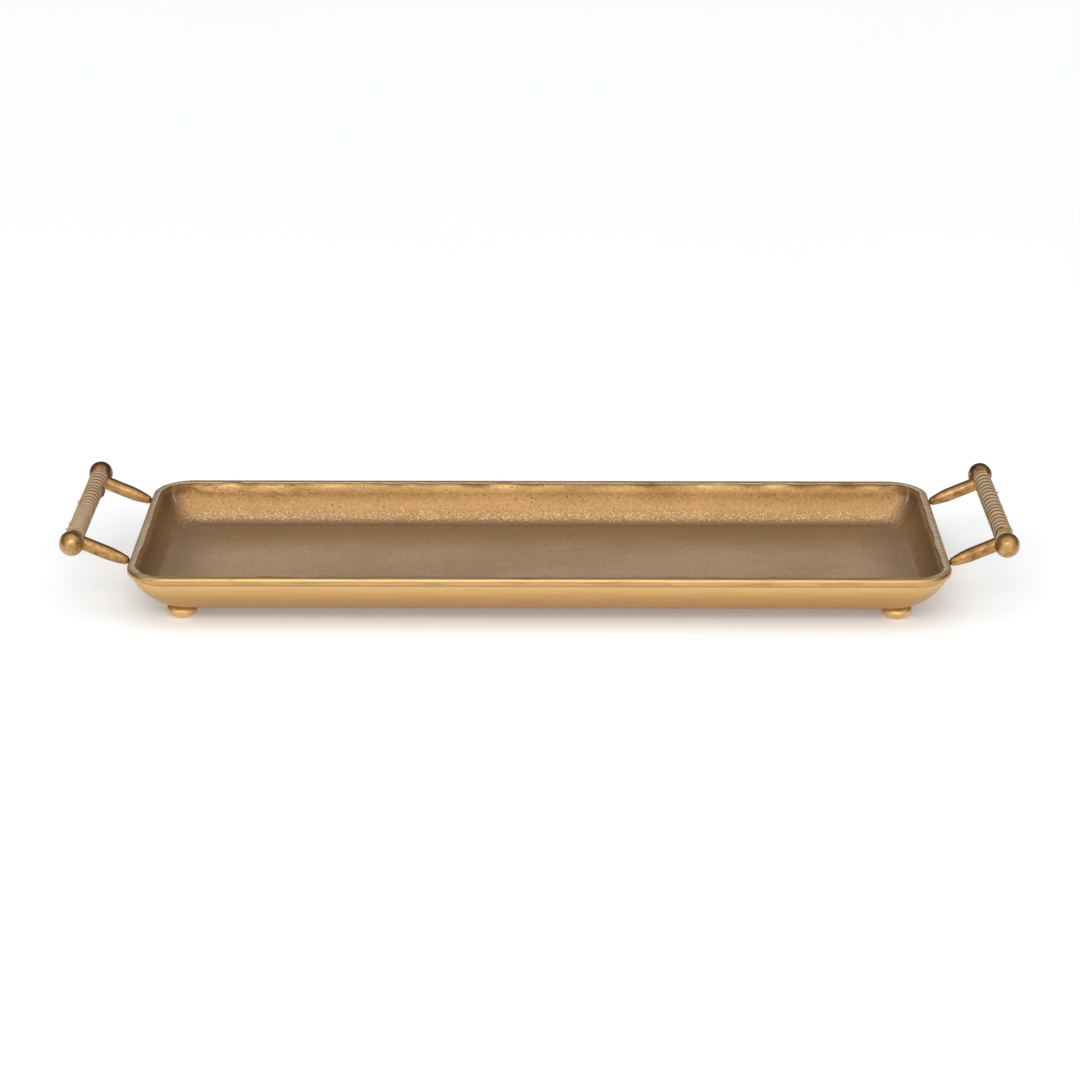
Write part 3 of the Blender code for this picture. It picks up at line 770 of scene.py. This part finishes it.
# %% [markdown]
# ### Sleeves and rings
# Between ball and lacing sits a dark sleeve on the bar. At the left back its far end bulges out beside
# the lacing. At the right front a longer, fatter and paler stretch of it is bare. A pale ring closes the
# gap to the ball.

# %% Sleeves and rings
# Each sleeve: radius, far end, and how far that end shifts sideways and up, in millimetres.
SLEEVES = {"left_front": (5.6, 27.0, 0.0, 0.0), "left_back": (5.6, 46.0, 3.4, -1.8),
           "right_front": (6.9, 38.0, 2.9, 0.0), "right_back": (5.6, 27.0, 0.0, 0.0)}
SLEEVE_BORE, SLEEVE_START, PLAIN_RADIUS = 5.1 * MM, 10.6 * MM, 5.6 * MM
NOSE_HEIGHT, NOSE_LENGTH = 2.5 * MM, 5.0 * MM


def make_sleeve(end, side):
    label = f"{end}_{side}"
    centre = ball_centre(end, side)
    radius, stop, aside, lift = (value * MM for value in SLEEVES[label])
    full = SLEEVE_START + 0.6 * MM
    outline = [(SLEEVE_BORE, SLEEVE_START), (radius - 0.5 * MM, SLEEVE_START), (radius, full)]
    outline += [(radius, full + (stop - full - NOSE_LENGTH) * i / 8) for i in range(1, 9)]
    outline += arc((radius - NOSE_HEIGHT, stop - NOSE_LENGTH), (NOSE_HEIGHT, NOSE_LENGTH), 15, 90, 6)
    inward = Vector((0, -SIDES[side], 0))
    shape = turn(outline, along(centre, inward), steps=40, closed=True)
    for vert in shape.verts:
        reach = (vert.co - centre).dot(inward)
        gone = min(1.0, max(0.0, (reach - stop + 22 * MM) / (15 * MM)))
        axis = centre + inward * reach
        slim = 1 - (1 - PLAIN_RADIUS / radius) * gone
        vert.co = axis + (vert.co - axis) * slim + Vector((aside, 0, lift)) * gone * gone * (3 - 2 * gone)
    knock(shape, 0.18 * MM, 6 * MM, centre.x * 9)
    finish = sleeve_brass if label == "right_front" else ball_brass["back"]
    put_on(shape, f"sleeve_{label}", finish, "dark_brass", f"hub_{label}")
    ring = [(5.0 * MM, 8.9 * MM), *arc((6.1 * MM, 9.9 * MM), (0.9 * MM, 0.8 * MM), -90, 90, 8)]
    ring += [(5.0 * MM, 10.7 * MM)]
    shape = turn(ring, along(centre, inward), steps=48, closed=True)
    knock(shape, 0.12 * MM, 3 * MM, centre.y * 9)
    put_on(shape, f"seat_ring_{label}", ring_metal, "dark_brass")


# %% [markdown]
# ### Lacing
# The strip is wound like a screw thread, each turn lapping the edge of the one before. bmesh's spin
# makes one turn of it when it is told to move along its axis at every step. That turn is then doubled,
# and doubled again, until the bar is covered. The strip starts and stops past the ends of the wrap,
# and is then trimmed flush with two planes, as a saddler trims it with a knife.

# %% Wound strip
PITCH = {"left": 6.8 * MM, "right": 7.7 * MM}
LAP, THICK, LOW = 1.6 * MM, 1.05 * MM, 5.95 * MM
DOUBLINGS, TURN_STEPS = (1, 2, 4, 8, 16), 40
WORN_RADIUS, WORN_SHARE = 7.45 * MM, 0.72


def strip_section(shape, pitch, layer):
    """The strip's cross-section: a flat band with rounded edges, tilted so that one edge laps."""
    top = [(0.00, -0.1), (0.06, 0.38), (0.30, 0.52), (0.60, 0.54), (0.90, 0.50), (1.0, 0.1)]
    low = [(0.97, -0.32), (0.60, -0.46), (0.10, -0.44)]
    width, points = pitch + LAP, []
    for share, lift in top + low:
        radius = LOW + THICK * (share * width / pitch + lift)
        vert = shape.verts.new((radius, 0.0, (share - 0.5) * width))
        vert[layer] = share
        points.append(vert)
    return points + [shape.edges.new(pair) for pair in zip(points, points[1:] + points[:1])]


def make_wrap(end):
    low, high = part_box(f"wrap_{end}")
    centre = Vector(((low.x + high.x) / 2, (low.y + high.y) / 2, (low.z + high.z) / 2))
    half, pitch = (high.y - low.y) / 2, PITCH[end]
    shape = bmesh.new()
    section = strip_section(shape, pitch, shape.verts.layers.float.new("across"))
    bmesh.ops.translate(shape, vec=(0, 0, -DOUBLINGS[-1] * pitch), verts=shape.verts[:])
    bmesh.ops.spin(shape, geom=section, cent=(0, 0, 0), axis=(0, 0, 1),
                   dvec=(0, 0, pitch / TURN_STEPS), angle=math.tau, steps=TURN_STEPS,
                   use_merge=False, use_duplicate=False)
    for wound in DOUBLINGS:
        copy = bmesh.ops.duplicate(shape, geom=shape.verts[:] + shape.edges[:] + shape.faces[:])["geom"]
        bmesh.ops.translate(shape, vec=(0, 0, wound * pitch),
                            verts=[g for g in copy if isinstance(g, bmesh.types.BMVert)])
    bmesh.ops.remove_doubles(shape, verts=shape.verts[:], dist=1e-6)
    bmesh.ops.transform(shape, matrix=along(centre, (0, -1, 0)), verts=shape.verts[:])
    for y, way in ((low.y, -1), (high.y, 1)):
        bmesh.ops.bisect_plane(shape, geom=shape.verts[:] + shape.edges[:] + shape.faces[:],
                               plane_co=(0, y, 0), plane_no=(0, way, 0), clear_outer=True, dist=1e-7)
    bmesh.ops.holes_fill(shape, edges=[e for e in shape.edges if e.is_boundary], sides=0)
    worn = shape.verts.layers.float.new("worn")
    for vert in shape.verts:
        across_bar = Vector((vert.co.x - centre.x, 0, vert.co.z - centre.z))
        radius = across_bar.length
        swell = noise.noise(vert.co / (13 * MM) + Vector((5, 0, 2))) * 0.22 * MM
        inside = min(1.0, max(0.0, (half - abs(vert.co.y - centre.y)) / (6 * MM)))
        vert.co.y += noise.noise(vert.co / (11 * MM) + Vector((0, 9, 4))) * 1.1 * MM * inside
        if end == "left":
            vert[worn] = min(1.0, max(0.0, (centre.y + 6 * MM - vert.co.y) / (22 * MM))) * WORN_SHARE
            if radius > LOW + 0.25 * MM:
                swell += (WORN_RADIUS - radius) * vert[worn]
        vert.co += across_bar.normalized() * swell
    reach, tube = half - 1 * MM, (5.2 * MM, 6.3 * MM)
    core = turn([(tube[0], -reach), (tube[1], -reach), (tube[1], reach), (tube[0], reach)],
                along(centre, (0, 1, 0)), steps=32, closed=True)
    # Its across stays 0, so the lacing finish colours the core with the groove's dark painted shade where it
    # shows between the laps.
    core.verts.layers.float.new("across")
    put_on(core, f"lacing_core_{end}", hide_lacing, "lacing")
    put_on(shape, f"lacing_{end}", hide_lacing, "lacing", f"wrap_{end}", sharp=50)


# %% [markdown]
# ### Snags
# Old lacing frays: here and there a nick in its edge stands up as a small dark point. Each is a slim
# leaning cone, pushed into the wrap. Only a few, and only where the real wrap has them.

# %% Snags
# Each snag: its direction from the bar (x, z), its distance from the front ball and its height, in mm.
SNAGS = {"left": [(-1, 0.1, 93.0, 1.9), (-1, 0.1, 89.0, 1.0), (-1, 0.2, 40.0, 1.3), (-1, 0.3, 25.0, 1.4),
                  (1, 0.1, 62.0, 0.9)],
         "right": [(1, 0.2, 116.0, 1.8), (-0.1, 1.0, 112.0, 0.8), (1, 0.1, 88.0, 0.8), (1, 0.1, 60.0, 0.7)]}
SNAG_ROOT, SNAG_SUNK, GROOVE_SHARE = 6.9 * MM, 0.9, 0.24


def make_snags(end):
    front = ball_centre(end, "front")
    shape = bmesh.new()
    across = shape.verts.layers.float.new("across")
    for way, rise, reach, height in SNAGS[end]:
        outward = Vector((way, 0.0, rise)).normalized()
        start = front + Vector((0, reach * MM, 0)) + outward * SNAG_ROOT
        full = (height + SNAG_SUNK) * MM
        cone = bmesh.ops.create_cone(shape, cap_ends=True, cap_tris=False, segments=10,
                                     radius1=0.85 * MM, radius2=0.28 * MM, depth=full)["verts"]
        bmesh.ops.translate(shape, vec=(0, 0, full / 2), verts=cone)
        bmesh.ops.transform(shape, matrix=along(start, outward + Vector((0, 0.35, 0.15))), verts=cone)
        # The snag gets the groove's across value, so the lacing finish paints it with the groove's dark
        # painted shade.
        for vert in cone:
            vert[across] = GROOVE_SHARE
    put_on(shape, f"snags_{end}", hide_lacing, "lacing")


for end in ENDS:
    make_snags(end)
    for side in SIDES:
        make_ball(end, side)
        make_post(end, side)
        make_sleeve(end, side)
    make_wrap(end)
